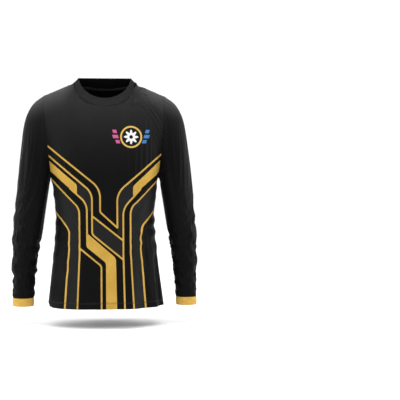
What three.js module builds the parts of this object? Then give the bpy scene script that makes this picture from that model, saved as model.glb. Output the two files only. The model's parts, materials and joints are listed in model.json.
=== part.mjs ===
import * as THREE from 'three';
import { LoftGeometry } from 'three/addons/geometries/LoftGeometry.js';

// Long-sleeved crew-neck cheer jersey, filled out as it is on its wearer.
// Millimetres. +Z is up, +X is the wearer's left, and the front faces -Y.
// The origin is midway between the two points where the shoulder seams meet the collar.

// ---- Body

const bodyLength = 691;         // shoulder seam at the collar, down to the hem
const hemWidth = 362;           // across the front, side seam to side seam
const hipWidth = 334;           // a third of the way from the hem to the armpit
const waistWidth = 314;         // two thirds of the way
const chestWidth = 332;         // at the armpits
const shoulderWidth = 380;      // between the two shoulder points
const shoulderDrop = 41;        // shoulder point below the collar end of the seam
const armpitDrop = 293;
const armholeDepth = 124;       // front to back across the armhole
const hemTurn = 20;             // height of the turned-up, doubled hem
const bodyFullness = 2.3;       // 2 is an ellipse, higher is squarer

// Half depths from the side seams to the middle of each panel: hem, hip, waist, chest.
const frontDepths = [ 128, 120, 112, 128 ];
const backDepths = [ 122, 108, 98, 118 ];

// ---- Collar

const neckWidth = 194;          // across the neckline seam
const frontNeckDrop = 72;
const backNeckDrop = 12;
const frontNeckReach = 88;      // neckline seam ahead of the shoulder seams
const backNeckReach = 60;
const collarWidth = 164;        // across the collar's open top edge
const frontCollarReach = 70;
const backCollarReach = 50;
const collarRise = 15;          // open edge above the shoulder seams
const frontCollarDrop = 65;     // how far that edge dips in front
const backCollarRise = 3;       // and how far it stands up behind
const neckTapeWidth = 11;

// ---- Sleeves

const sleeveLength = 633;       // shoulder point down to the cuff seam
const sleeveReach = 99;         // cuff seam's outer side, outward of the shoulder point
const sleeveEndWidth = 66;
const sleeveEndDepth = 60;
const upperArmDepth = 132;
const elbowDepth = 116;
const cuffHeight = 25.5;

// ---- Cloth

const fabricThickness = 1.5;
const ribThickness = 2.6;       // collar and cuffs are rib knit, folded double
const seamAllowance = 5;        // width of an overlocked seam edge
const sleeveSeamAllowance = 4;
const seamThickness = 1.2;
const stitchWidth = 1.4;
const stitchHeight = 0.6;

const seamGap = 0.3;            // between the edges of two pieces sewn together
const sleeveGap = 0.4;          // between the armhole's edge and the sleeve
const layerGap = 0.6;           // between a layer and the one that lies on it
const collarSeamGap = 0.8;      // the same, inside the collar
const underarmGap = 1;          // the same, inside the sleeve's underarm
const ridgeGap = 1.4;           // the same, under the shoulders and the back of the neck

// ---- Grid: how finely each piece is bent

const neckColumns = 6;          // from the middle of the neckline to the shoulder seam
const shoulderColumns = 7;      // from there to the armhole
const lowerRows = 8;            // from the hem's stitching to the armpit
const armholeSteps = 12;        // from the armpit to the shoulder point, front or back
const sleeveRows = 16;
const halfColumns = neckColumns + shoulderColumns;
const panelColumns = 2 * halfColumns;
const hemRows = 2;              // the hem, then the step from two layers to one
const panelRows = hemRows + lowerRows + armholeSteps;
const neckSteps = 4 * neckColumns;
const sleeveColumns = 2 * armholeSteps;

const hemZ = - bodyLength;
const armpitZ = - armpitDrop;
const shoulderZ = - shoulderDrop;
const shoulderX = shoulderWidth / 2;
const armpitX = chestWidth / 2;
const neckX = neckWidth / 2;
const armpitShare = ( armpitZ - hemZ ) / ( shoulderZ - hemZ );
const neckShare = neckX / shoulderX;
const neckAcross = Math.asin( neckShare ) * 2 / Math.PI;

const { lerp, smoothstep } = THREE.MathUtils;

const FRONT = {
	y: - 1,
	depths: frontDepths,
	neckDrop: frontNeckDrop,
	neckReach: frontNeckReach,
	collarReach: frontCollarReach,
	collarDip: frontCollarDrop
};

const BACK = {
	y: 1,
	depths: backDepths,
	neckDrop: backNeckDrop,
	neckReach: backNeckReach,
	collarReach: backCollarReach,
	collarDip: - backCollarRise
};

const RIGHT = - 1;
const LEFT = 1;

// ---- Materials

function cloth( color, roughness ) {

	return new THREE.MeshStandardMaterial( { color, roughness, metalness: 0 } );

}

const black = 0x1c1c1d;
const gold = 0xc39c4c;
const thread = 0x2a2a2b;

// ---- Shapes

// A sheet bent from a flat slab. place( column, row, outer ) puts each grid point,
// with outer 0 on the inner face and 1 on the outer face.
function bentSlab( columns, rows, place ) {

	const geometry = new THREE.BoxGeometry( 1, 1, 1, columns, rows, 1 );
	const position = geometry.attributes.position;
	const corner = new THREE.Vector3();

	for ( let i = 0; i < position.count; i ++ ) {

		corner.fromBufferAttribute( position, i ).addScalar( 0.5 );
		const column = Math.round( corner.x * columns );
		const row = Math.round( corner.y * rows );
		position.setXYZ( i, ...place( column, row, Math.round( corner.z ) ) );

	}

	geometry.computeVertexNormals();
	return geometry;

}

// A closed ring. corner( step, edge, outer ) gives the four corners of its section.
function ring( steps, corner ) {

	const sections = [];

	for ( let i = 0; i <= steps; i ++ ) {

		const step = i % steps;
		sections.push( [
			corner( step, 0, 0 ),
			corner( step, 0, 1 ),
			corner( step, 1, 1 ),
			corner( step, 1, 0 )
		] );

	}

	return new LoftGeometry( sections );

}

// ---- Body panels

// Half width and half depth from the hem, 0, to the armpit, 1.
function bodyProfile( side, up ) {

	const widths = [ hemWidth, hipWidth, waistWidth, chestWidth ];
	const knots = widths.map( ( width, i ) => new THREE.Vector2( width / 2, side.depths[ i ] ) );
	return new THREE.SplineCurve( knots ).getPoint( Math.min( up, 1 ) );

}

// Height of the shoulder seam and neckline above the hem's own column.
function topHeight( side, across ) {

	const s = Math.abs( across );

	if ( s < neckAcross ) return - side.neckDrop * Math.cos( Math.PI / 2 * s / neckAcross );

	return lerp( 0, shoulderZ, ( s - neckAcross ) / ( 1 - neckAcross ) );

}

// Share of the half width at which a column stands. The columns are spaced as on an
// ellipse round the body, and at the top as the neckline and shoulder seam need.
function columnShare( across, raised ) {

	const s = Math.abs( across );
	const low = Math.sin( Math.PI / 2 * s );
	const high = s < neckAcross
		? neckShare * Math.sin( Math.PI / 2 * s / neckAcross )
		: lerp( neckShare, 1, ( s - neckAcross ) / ( 1 - neckAcross ) );

	return Math.sign( across ) * lerp( low, high, smoothstep( raised, 0, 1 ) );

}

// A point of the body. across runs from -1, the right side seam, to 1, the left one.
// up runs from 0, the hem, through 1, the armpit, to 2, the shoulder seam and neckline,
// turning evenly round the armhole from 1 to 2. inset is the depth below the outer face.
function bodyPoint( side, across, up, inset ) {

	const turn = Math.PI * Math.max( up - 1, 0 );
	const raised = ( 1 - Math.cos( turn ) ) / 2;
	const share = up < 1 ? armpitShare * up : lerp( armpitShare, 1, raised );

	const top = topHeight( side, across ) - inset;
	const z = lerp( hemZ, top, share );

	const profile = bodyProfile( side, up );
	const edge = up < 1 ? profile.x : lerp( armpitX, shoulderX, raised );
	const column = columnShare( across, raised );
	const x = ( edge - inset ) * column;

	const s = Math.abs( across );
	const neckEdge = s < neckAcross ? side.neckReach * Math.cos( Math.PI / 2 * s / neckAcross ) - inset : 0;
	const depth = profile.y - inset;
	const fall = 1 - ( Math.max( neckEdge, 0 ) / depth ) ** 2;
	const middle = depth * Math.sqrt( 1 - fall * raised ** 2 );
	const armhole = Math.max( ( armholeDepth / 2 - inset ) * Math.sin( turn ), 0 );
	const rounding = lerp( 1 / bodyFullness, 1, smoothstep( raised, 0, 0.5 ) );
	const bulge = Math.max( 1 - Math.abs( column ) ** bodyFullness, 0 ) ** rounding;
	const y = Math.max( lerp( armhole, middle, bulge ), seamGap / 2 );

	return new THREE.Vector3( x, side.y * y, z );

}

function columnAcross( column ) {

	const n = column - halfColumns;
	const step = Math.abs( n );
	const share = step <= neckColumns
		? neckAcross * step / neckColumns
		: lerp( neckAcross, 1, ( step - neckColumns ) / shoulderColumns );

	return Math.sign( n ) * share;

}

const hemShare = hemTurn / ( armpitZ - hemZ );
const hemStep = 1 / ( armpitZ - hemZ );        // one millimetre, where two layers become one

function rowUp( row ) {

	if ( row === 0 ) return 0;
	if ( row === 1 ) return hemShare;
	if ( row <= hemRows + lowerRows ) return lerp( hemShare + hemStep, 1, ( row - hemRows ) / lowerRows );

	return 1 + ( row - hemRows - lowerRows ) / armholeSteps;

}

function panel( side ) {

	return bentSlab( panelColumns, panelRows, ( column, row, outer ) => {

		const across = columnAcross( side === FRONT ? column : panelColumns - column );
		const layers = row < hemRows ? 2 : 1;
		return bodyPoint( side, across, rowUp( row ), outer ? 0 : layers * fabricThickness );

	} );

}

// A seam strip of the given width that stands centred on the side seam, inside it.
function sideSeam( hand ) {

	const start = hemShare + 3 * hemStep;
	const end = 1 - 3 * hemStep;

	return bentSlab( 1, lowerRows, ( column, row, outer ) => {

		const inset = fabricThickness + layerGap + ( 1 - outer ) * seamThickness;
		const point = bodyPoint( FRONT, hand, lerp( start, end, row / lowerRows ), inset );
		return point.setY( hand * ( column - 0.5 ) * seamAllowance );

	} );

}

// The shoulder seam is straight, so its strip is a plain bar below the ridge.
function shoulderSeam( hand ) {

	const collarEnd = 4;
	const armholeEnd = 8;
	const slope = Math.atan2( shoulderZ, shoulderX - neckX );
	const length = ( shoulderX - neckX ) / Math.cos( slope ) - collarEnd - armholeEnd;
	const depth = ( fabricThickness + ridgeGap ) / Math.cos( slope ) + seamThickness / 2;
	const middle = collarEnd + length / 2;

	const geometry = new THREE.BoxGeometry( length, seamAllowance, seamThickness );
	geometry.translate( middle, 0, 0 );
	geometry.rotateY( - slope );
	geometry.translate( neckX, 0, - depth );
	if ( hand === RIGHT ) geometry.rotateZ( Math.PI );
	return geometry;

}

function backNeckTape() {

	const top = 1.985;
	const turnAtTape = Math.acos( 2 * neckTapeWidth / ( bodyLength * ( 1 - armpitShare ) ) - 1 );
	const bottom = 1 + turnAtTape / Math.PI;
	const tapeThickness = 1;

	return bentSlab( 2 * neckColumns, 1, ( column, row, outer ) => {

		const across = neckAcross * ( 1 - column / neckColumns );
		const inset = fabricThickness + ridgeGap + ( 1 - outer ) * tapeThickness;
		return bodyPoint( BACK, across, row ? top : bottom, inset );

	} );

}

// Stitching that runs right round the outside, along the top of the hem.
function hemStitch() {

	return ring( 2 * panelColumns, ( step, edge, outer ) => {

		const back = step >= panelColumns;
		const column = back ? 2 * panelColumns - step : step;
		const up = hemShare - ( 2 + edge * stitchWidth ) * hemStep;
		return bodyPoint( back ? BACK : FRONT, columnAcross( column ), up, - layerGap - outer * stitchHeight );

	} );

}

// ---- Collar

// A point of the rib collar: rise runs from 0 at the neckline seam to 1 at the open edge.
function collarPoint( step, rise, inset ) {

	const angle = 2 * Math.PI * step / neckSteps;
	const cosine = Math.cos( angle );
	const side = cosine > 0 ? FRONT : BACK;
	const middle = Math.abs( cosine );

	const x = ( lerp( neckX, collarWidth / 2, rise ) - inset ) * Math.sin( angle );
	const y = side.y * ( lerp( side.neckReach, side.collarReach, rise ) - inset ) * middle;
	const z = lerp( - side.neckDrop * middle, collarRise - side.collarDip * middle, rise );
	return new THREE.Vector3( x, y, z );

}

function neckband() {

	return ring( neckSteps, ( step, edge, outer ) => {

		return collarPoint( step, edge ? 0.04 : 1, outer ? 0 : ribThickness );

	} );

}

// The overlocked edge of the neckline seam, turned up inside the collar.
function neckSeam() {

	return ring( neckSteps, ( step, edge, outer ) => {

		const inset = ribThickness + collarSeamGap + ( 1 - outer ) * seamThickness;
		return collarPoint( step, edge ? 0.06 : 0.24, inset );

	} );

}

// ---- Sleeves

// Outer side of the sleeve seen from the front: x as a share of the reach, y as a
// share of the length, from the shoulder point over the upper arm to the cuff seam.
const outerPath = new THREE.SplineCurve( [
	new THREE.Vector2( 0, 0 ),
	new THREE.Vector2( 0.34, 0.041 ),
	new THREE.Vector2( 0.60, 0.122 ),
	new THREE.Vector2( 0.74, 0.25 ),
	new THREE.Vector2( 0.88, 0.45 ),
	new THREE.Vector2( 1.02, 0.72 ),
	new THREE.Vector2( 1, 1 )
] );

// Half depths of the sleeve at the same places.
const sleeveDepths = new THREE.SplineCurve( [
	armholeDepth,
	( armholeDepth + upperArmDepth ) / 2,
	upperArmDepth,
	upperArmDepth,
	elbowDepth,
	( elbowDepth + sleeveEndDepth ) / 2,
	sleeveEndDepth
].map( ( depth ) => new THREE.Vector2( depth / 2, 0 ) ) );

const sleeveEndZ = shoulderZ - sleeveLength;
const sleeveEndX = shoulderX + sleeveReach - sleeveEndWidth / 2;

function outerSide( along ) {

	const share = outerPath.getPoint( along );
	return new THREE.Vector2( shoulderX + sleeveReach * share.x, shoulderZ - sleeveLength * share.y );

}

// The underarm line starts slowly, because every section there fans out of the armpit.
function innerSide( along ) {

	const share = 0.12 * along + 0.88 * along ** 3;
	const end = sleeveEndX - sleeveEndWidth / 2;
	return new THREE.Vector2( lerp( armpitX, end, share ** 0.8 ), lerp( armpitZ, sleeveEndZ, share ) );

}

// Moves a point of a side line by inset, towards the middle of the sleeve.
function insetSide( line, along, inset, turn ) {

	const step = 0.01;
	const before = line( Math.max( along - step, 0 ) );
	const after = line( Math.min( along + step, 1 ) );
	const tangent = after.sub( before ).normalize();
	const inward = new THREE.Vector2( - turn * tangent.y, turn * tangent.x );
	return line( along ).addScaledVector( inward, inset );

}

// A point of a sleeve. around runs from 0 at the underarm seam, over the front and
// the outer side, back to 1. along runs from 0 at the armhole to 1 at the cuff seam.
function sleevePoint( hand, around, along, inset ) {

	const angle = 2 * Math.PI * around;
	const outer = insetSide( outerSide, along, inset, - 1 );
	const inner = insetSide( innerSide, along, inset, 1 );
	const across = ( 1 - Math.cos( angle ) ) / 2;
	const depth = sleeveDepths.getPoint( along ).x - inset;

	const x = lerp( inner.x, outer.x, across ) + sleeveGap;
	const z = lerp( inner.y, outer.y, across );
	const y = Math.max( depth * Math.abs( Math.sin( angle ) ), seamGap / 2 );
	return new THREE.Vector3( hand * x, around < 0.5 ? - y : y, z );

}

function sleeve( hand ) {

	return bentSlab( sleeveColumns, sleeveRows, ( column, row, outer ) => {

		const around = ( hand === LEFT ? column : sleeveColumns - column ) / sleeveColumns;
		return sleevePoint( hand, around, 1 - row / sleeveRows, outer ? 0 : fabricThickness );

	} );

}

function sleeveSeam( hand ) {

	const armholeEnd = 0.1;
	const cuffEnd = 0.985;

	return bentSlab( 1, sleeveRows, ( column, row, outer ) => {

		const along = lerp( cuffEnd, armholeEnd, row / sleeveRows );
		const inset = fabricThickness + underarmGap + ( 1 - outer ) * seamThickness;
		const point = sleevePoint( hand, 0, along, inset );
		return point.setY( - hand * ( column - 0.5 ) * sleeveSeamAllowance );

	} );

}

// The overlocked edge of the armhole seam: a ring just inside the armhole's plane.
function armholeSeam( hand ) {

	const ringInset = fabricThickness + 0.7;
	const planeGap = 0.6;
	const ringWidth = 3.7;
	const middleX = ( armpitX + shoulderX ) / 2;
	const middleZ = ( armpitZ + shoulderZ ) / 2;

	return ring( sleeveColumns, ( step, edge, outer ) => {

		const angle = hand * 2 * Math.PI * step / sleeveColumns;
		const inset = ringInset + ( 1 - outer ) * seamThickness;
		const height = ( shoulderZ - armpitZ ) / 2;
		const z = - ( height - inset ) * Math.cos( angle );
		const lean = z * ( shoulderX - armpitX ) / ( 2 * height );
		const x = middleX + lean - planeGap - edge * ringWidth;
		const y = ( armholeDepth / 2 - inset ) * Math.sin( angle );
		return new THREE.Vector3( hand * x, y, middleZ + z );

	} );

}

// ---- Cuffs

// A point round the end of the sleeve, drop below the cuff seam.
function cuffPoint( hand, step, drop, inset ) {

	const angle = 2 * Math.PI * step / sleeveColumns;
	const x = sleeveEndX + sleeveGap - ( sleeveEndWidth / 2 - inset ) * Math.cos( angle );
	const y = - hand * ( sleeveEndDepth / 2 - inset ) * Math.sin( angle );
	return new THREE.Vector3( hand * x, y, sleeveEndZ - drop );

}

function cuff( hand ) {

	return ring( sleeveColumns, ( step, edge, outer ) => {

		return cuffPoint( hand, step, edge ? seamGap + cuffHeight : seamGap, outer ? 0 : ribThickness );

	} );

}

// The overlocked edge of the cuff seam, turned up inside the sleeve.
function cuffSeam( hand ) {

	return ring( sleeveColumns, ( step, edge, outer ) => {

		const inset = fabricThickness + layerGap + ( 1 - outer ) * seamThickness;
		return cuffPoint( hand, step, edge ? - seamGap : - seamAllowance, inset );

	} );

}

// ---- Assembly

const group = new THREE.Group();

function add( parent, name, geometry, color, roughness ) {

	const mesh = new THREE.Mesh( geometry, cloth( color, roughness ) );
	mesh.name = name;
	parent.add( mesh );

}

add( group, 'front_panel', panel( FRONT ), black, 0.75 );
add( group, 'back_panel', panel( BACK ), black, 0.75 );
add( group, 'neckband', neckband(), black, 0.85 );
add( group, 'neck_seam', neckSeam(), thread, 0.9 );
add( group, 'back_neck_tape', backNeckTape(), black, 0.9 );
add( group, 'hem_stitch', hemStitch(), thread, 0.6 );

for ( const [ suffix, hand ] of [ [ 'left', LEFT ], [ 'right', RIGHT ] ] ) {

	const arm = new THREE.Group();
	add( group, `side_seam_${ suffix }`, sideSeam( hand ), thread, 0.9 );
	add( group, `shoulder_seam_${ suffix }`, shoulderSeam( hand ), thread, 0.9 );
	add( group, `armhole_seam_${ suffix }`, armholeSeam( hand ), thread, 0.9 );
	add( arm, `sleeve_${ suffix }`, sleeve( hand ), black, 0.75 );
	add( arm, `sleeve_seam_${ suffix }`, sleeveSeam( hand ), thread, 0.9 );
	add( arm, `cuff_${ suffix }`, cuff( hand ), gold, 0.8 );
	add( arm, `cuff_seam_${ suffix }`, cuffSeam( hand ), thread, 0.9 );
	group.add( arm );

}

export default group;
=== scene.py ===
import json
import math

import bpy
import numpy as np
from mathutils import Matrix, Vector

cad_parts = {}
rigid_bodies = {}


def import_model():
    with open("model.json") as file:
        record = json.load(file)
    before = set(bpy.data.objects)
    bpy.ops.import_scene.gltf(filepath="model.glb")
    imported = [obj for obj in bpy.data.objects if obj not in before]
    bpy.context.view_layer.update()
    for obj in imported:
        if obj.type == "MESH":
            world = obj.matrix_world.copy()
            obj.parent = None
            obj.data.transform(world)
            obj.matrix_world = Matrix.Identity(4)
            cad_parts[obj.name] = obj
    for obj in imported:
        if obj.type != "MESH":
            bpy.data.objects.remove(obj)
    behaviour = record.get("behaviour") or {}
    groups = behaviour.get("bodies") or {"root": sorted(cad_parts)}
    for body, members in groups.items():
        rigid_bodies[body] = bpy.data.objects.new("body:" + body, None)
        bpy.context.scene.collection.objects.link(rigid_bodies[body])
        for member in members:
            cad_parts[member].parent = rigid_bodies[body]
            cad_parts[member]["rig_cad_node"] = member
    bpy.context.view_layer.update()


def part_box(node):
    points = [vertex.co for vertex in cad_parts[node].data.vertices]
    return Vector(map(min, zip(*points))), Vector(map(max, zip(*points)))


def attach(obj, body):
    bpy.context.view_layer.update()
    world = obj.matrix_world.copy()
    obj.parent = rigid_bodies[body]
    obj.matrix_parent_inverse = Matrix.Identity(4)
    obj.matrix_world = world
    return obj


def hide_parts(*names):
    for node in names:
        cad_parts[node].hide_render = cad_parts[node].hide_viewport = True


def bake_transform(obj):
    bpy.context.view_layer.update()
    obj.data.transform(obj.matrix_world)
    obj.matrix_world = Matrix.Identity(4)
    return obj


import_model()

MM = 0.001

# A long-sleeved cheer jersey. The row frame is metres, +Z up, the front facing -Y,
# the origin midway between the collar ends of the shoulder seams.
# Sizes below are in millimetres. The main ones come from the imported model's boxes.


def node_mm(node):
    low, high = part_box(node)
    return np.array(low) / MM, np.array(high) / MM


panel_low, panel_high = node_mm("front_panel")
back_high = node_mm("back_panel")[1]
sleeve_low, sleeve_high = node_mm("sleeve_left")
cuff_low, cuff_high = node_mm("cuff_left")

# ---- Body sizes

HEM_Z = panel_low[2]
SHOULDER_X = panel_high[0]
SHOULDER_Z = sleeve_high[2]
ARMPIT_X = 166.0
ARMPIT_Z = -293.0
ARMHOLE_HALF_DEPTH = 62.0
HALF_WIDTHS = [181.0, 167.0, 157.0, ARMPIT_X]        # hem, hip, waist, chest
FRONT_DEPTHS = [-panel_low[1], 120.0, 112.0, -panel_low[1]]
BACK_DEPTHS = [back_high[1], 108.0, 98.0, back_high[1] - 4]
FULLNESS = 2.3
HEM_TURN = 20.0

# ---- Collar sizes

NECK_X = 97.0
COLLAR_X = 82.0
COLLAR_RISE = 15.0

FRONT = dict(y=-1, depths=FRONT_DEPTHS, neck_drop=72.0, neck_reach=88.0, collar_reach=70.0, collar_dip=65.0)
BACK = dict(y=1, depths=BACK_DEPTHS, neck_drop=12.0, neck_reach=60.0, collar_reach=50.0, collar_dip=-3.0)
PANELS = ("front", "back")
HANDS = {"left": 1, "right": -1}        # the sign of X on each side

# ---- Sleeve sizes

SLEEVE_END_Z = sleeve_low[2]
SLEEVE_END_WIDTH = cuff_high[0] - cuff_low[0]
SLEEVE_END_DEPTH = cuff_high[1] - cuff_low[1]
SLEEVE_REACH = 99.0
OUTER_PATH = np.array([
    (0, 0), (0.34, 0.041), (0.60, 0.122), (0.74, 0.25), (0.88, 0.45), (1.02, 0.72), (1, 1),
])
SLEEVE_DEPTHS = np.array([124, 128, 132, 132, 116, 88, SLEEVE_END_DEPTH]) / 2

# ---- Cloth

FABRIC = 0.9
RIB = 2.4

# ---- Grids: quads of the draped mesh, and how many times finer the finished one is

NECK_COLUMNS = 12
SHOULDER_COLUMNS = 15
HALF_COLUMNS = NECK_COLUMNS + SHOULDER_COLUMNS
LOWER_ROWS = 44
ARMHOLE_STEPS = 38
SLEEVE_ROWS = 66
FINER = 3

ARMPIT_SHARE = (ARMPIT_Z - HEM_Z) / (SHOULDER_Z - HEM_Z)
NECK_SHARE = NECK_X / SHOULDER_X
NECK_ACROSS = math.asin(NECK_SHARE) * 2 / math.pi


def mix(a, b, t):
    return a + (b - a) * t


def smooth(value, low, high):
    t = np.clip((value - low) / (high - low), 0, 1)
    return t * t * (3 - 2 * t)


def spline(knots, t):
    """A uniform Catmull-Rom spline through knots, t from 0 to 1."""
    knots = np.asarray(knots, float)
    last = len(knots) - 1
    p = np.clip(np.asarray(t, float), 0, 1) * last
    i = np.minimum(np.floor(p).astype(int), last - 1)
    w = p - i
    if knots.ndim > 1:
        w = w[..., None]
    a, b, c, d = (knots[np.clip(i + k, 0, last)] for k in (-1, 0, 1, 2))
    v0, v1 = (c - a) / 2, (d - b) / 2
    return (2 * b - 2 * c + v0 + v1) * w**3 + (-3 * b + 3 * c - 2 * v0 - v1) * w**2 + v0 * w + b


# ---- Body surface


def body_point(side, across, up):
    """A point of the body, in millimetres. across: -1 to 1 between the side seams.
    up: 0 at the hem, 1 at the armpit, 2 at the shoulder seam and neckline."""
    across, up = np.broadcast_arrays(np.asarray(across, float), np.asarray(up, float))
    turn = math.pi * np.maximum(up - 1, 0)
    raised = (1 - np.cos(turn)) / 2
    share = np.where(up < 1, ARMPIT_SHARE * up, mix(ARMPIT_SHARE, 1, raised))
    s = np.abs(across)
    in_neck = s < NECK_ACROSS
    neck_angle = math.pi / 2 * np.minimum(s / NECK_ACROSS, 1)
    seam_share = (s - NECK_ACROSS) / (1 - NECK_ACROSS)
    top = np.where(in_neck, -side["neck_drop"] * np.cos(neck_angle), SHOULDER_Z * seam_share)
    z = mix(HEM_Z, top, share)
    low = np.sin(math.pi / 2 * s)
    high = np.where(in_neck, NECK_SHARE * np.sin(neck_angle), mix(NECK_SHARE, 1, seam_share))
    column = mix(low, high, smooth(raised, 0, 1))
    edge = np.where(up < 1, spline(HALF_WIDTHS, up), mix(ARMPIT_X, SHOULDER_X, raised))
    x = np.sign(across) * edge * column
    depth = spline(side["depths"], np.minimum(up, 1))
    neck_edge = np.where(in_neck, side["neck_reach"] * np.cos(neck_angle), 0)
    fall = 1 - (neck_edge / depth) ** 2
    middle = depth * np.sqrt(np.maximum(1 - fall * raised**2, 0))
    armhole = np.maximum(ARMHOLE_HALF_DEPTH * np.sin(turn), 0)
    rounding = mix(1 / FULLNESS, 1, smooth(raised, 0, 0.5))
    bulge = np.maximum(1 - column**FULLNESS, 0) ** rounding
    y = side["y"] * mix(armhole, middle, bulge)
    return np.stack([x, y, z], -1)


def panel_columns(count_neck, count_shoulder):
    neck = NECK_ACROSS * np.arange(count_neck + 1) / count_neck
    shoulder = mix(NECK_ACROSS, 1, np.arange(1, count_shoulder + 1) / count_shoulder)
    half = np.concatenate([neck, shoulder])
    return np.concatenate([-half[:0:-1], half])


def armhole_turns(count):
    """Turns from 0 at the armpit to 1 at the shoulder, evenly spaced round the armhole's oval."""
    turn = np.linspace(0, 1, 721)
    y = ARMHOLE_HALF_DEPTH * np.sin(math.pi * turn)
    z = (SHOULDER_Z - ARMPIT_Z) / 2 * np.cos(math.pi * turn)
    run = np.concatenate([[0], np.cumsum(np.hypot(np.diff(y), np.diff(z)))])
    return np.interp(np.linspace(0, run[-1], count + 1), run, turn)


def panel_rows(count_lower, count_armhole):
    lower = np.arange(count_lower) / count_lower
    return np.concatenate([lower, 1 + armhole_turns(count_armhole)])


# ---- Sleeve surface


def outer_side(along):
    share = spline(OUTER_PATH, along)
    length = SHOULDER_Z - SLEEVE_END_Z
    return np.stack([SHOULDER_X + SLEEVE_REACH * share[..., 0], SHOULDER_Z - length * share[..., 1]], -1)


def inner_side(along):
    share = 0.12 * along + 0.88 * along**3
    end = SHOULDER_X + SLEEVE_REACH - SLEEVE_END_WIDTH
    return np.stack([mix(ARMPIT_X, end, share**0.8), mix(ARMPIT_Z, SLEEVE_END_Z, share)], -1)


def sleeve_point(hand, around, along):
    """A point of a sleeve, in millimetres. around: 0 at the underarm seam, over the front and the outer
    side, to 1. along: 0 at the armhole, 1 at the cuff seam. hand: 1 is left, -1 is right."""
    around, along = np.broadcast_arrays(np.asarray(around, float), np.asarray(along, float))
    angle = 2 * math.pi * around
    outer, inner = outer_side(along), inner_side(along)
    across = (1 - np.cos(angle)) / 2
    x = mix(inner[..., 0], outer[..., 0], across)
    z = mix(inner[..., 1], outer[..., 1], across)
    y = -spline(SLEEVE_DEPTHS, along) * np.sin(angle)
    return np.stack([hand * x, y, z], -1)


# ---- The whole garment as one sewn mesh, which is draped before the pieces are finished


def finer_weights(count):
    """How much each of count knots weighs at each point of a line FINER times as fine."""
    return spline(np.eye(count), np.linspace(0, 1, (count - 1) * FINER + 1))


class Grid:
    """One cut piece: its grid of points, and where they are in the sewn mesh."""

    def __init__(self, points):
        self.points = points
        self.index = None

    def finish(self, sewn):
        """The piece's points after draping, on a grid FINER times as fine."""
        coarse = sewn[self.index]
        rows, columns = (finer_weights(count) for count in coarse.shape[:2])
        return np.einsum("ri,cj,ijk->rck", rows, columns, coarse)


across = panel_columns(NECK_COLUMNS, SHOULDER_COLUMNS)
up = panel_rows(LOWER_ROWS, ARMHOLE_STEPS)
turns = armhole_turns(ARMHOLE_STEPS)
around = np.concatenate([turns, 2 - turns[-2::-1]]) / 2
along = np.arange(SLEEVE_ROWS + 1) / SLEEVE_ROWS

grids = {
    "front": Grid(body_point(FRONT, across[None, :], up[:, None])),
    "back": Grid(body_point(BACK, across[None, ::-1], up[:, None])),
    "left": Grid(sleeve_point(1, around[None, :], along[::-1, None])),
    "right": Grid(sleeve_point(-1, around[None, ::-1], along[::-1, None])),
}


def sew(grids):
    """Joins the pieces where their edges meet. Returns the points and the four-sided faces."""
    everything = np.concatenate([g.points.reshape(-1, 3) for g in grids.values()])
    keys = np.round(everything * 20).astype(int)
    _, first, inverse = np.unique(keys, axis=0, return_index=True, return_inverse=True)
    inverse = inverse.reshape(-1)
    start, faces = 0, []
    for grid in grids.values():
        rows, columns = grid.points.shape[:2]
        grid.index = inverse[start : start + rows * columns].reshape(rows, columns)
        start += rows * columns
        i = grid.index
        faces.append(np.stack([i[:-1, :-1], i[:-1, 1:], i[1:, 1:], i[1:, :-1]], -1).reshape(-1, 4))
    return everything[first], np.concatenate(faces)


def edges_of(faces):
    edges = np.concatenate([faces[:, [k, (k + 1) % 4]] for k in range(4)])
    edges = np.unique(np.sort(edges, axis=1), axis=0)
    return edges[edges[:, 0] != edges[:, 1]]


def relax(points, edges, held, times, strength=0.5):
    """Evens out points towards their neighbours' middle, except where held is 1."""
    count = np.bincount(edges.reshape(-1), minlength=len(points))[:, None]
    for _ in range(times):
        total = np.zeros_like(points)
        np.add.at(total, edges[:, 0], points[edges[:, 1]])
        np.add.at(total, edges[:, 1], points[edges[:, 0]])
        points = points + (total / count - points) * strength * (1 - held[:, None])
    return points


def point_normals(points, faces):
    a, b, c, d = (points[faces[:, k]] for k in range(4))
    across_faces = np.cross(c - a, d - b)
    normals = np.zeros_like(points)
    for k in range(4):
        np.add.at(normals, faces[:, k], across_faces)
    return normals / np.linalg.norm(normals, axis=1, keepdims=True)


sewn, sewn_faces = sew(grids)
sewn_edges = edges_of(sewn_faces)
held = np.zeros(len(sewn))
neckline = slice(HALF_COLUMNS - NECK_COLUMNS, HALF_COLUMNS + NECK_COLUMNS + 1)
for name in PANELS:
    held[grids[name].index[-1, neckline]] = 1
    held[grids[name].index[0, :]] = 1
for side in HANDS:
    held[grids[side].index[0, :]] = 1
    held[grids[side].index[-1, :]] = 0.6
sewn = relax(sewn, sewn_edges, held, 10)


def new_mesh(name, points, faces, smooth_shading=True):
    mesh = bpy.data.meshes.new(name)
    mesh.from_pydata(np.asarray(points).tolist(), [], [tuple(f) for f in faces])
    mesh.validate()
    if smooth_shading:
        mesh.polygons.foreach_set("use_smooth", [True] * len(mesh.polygons))
    obj = bpy.data.objects.new(name, mesh)
    bpy.context.scene.collection.objects.link(obj)
    return obj


# ---- Draping

DRAPE_FRAMES = 36
MOST_DRAPE = 22.0        # how far a point may move, in millimetres
DROP_KEPT = 0.5          # the share of the vertical movement that is kept
SLEEVE_CALM = 0.4        # the share of the sleeves' movement that is left out
PRINT_FOLLOWS = 0.7      # how much of the movement the print follows
FORM_GAP = 0.002         # between the cloth and the form, in metres
CLOTH = dict(
    quality=5, mass=0.25, pin_stiffness=1, air_damping=2, shrink_min=-0.022,
    tension_stiffness=40, compression_stiffness=30, shear_stiffness=6, bending_stiffness=0.6,
    tension_damping=10, compression_damping=10, shear_damping=10, bending_damping=2,
)


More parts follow.
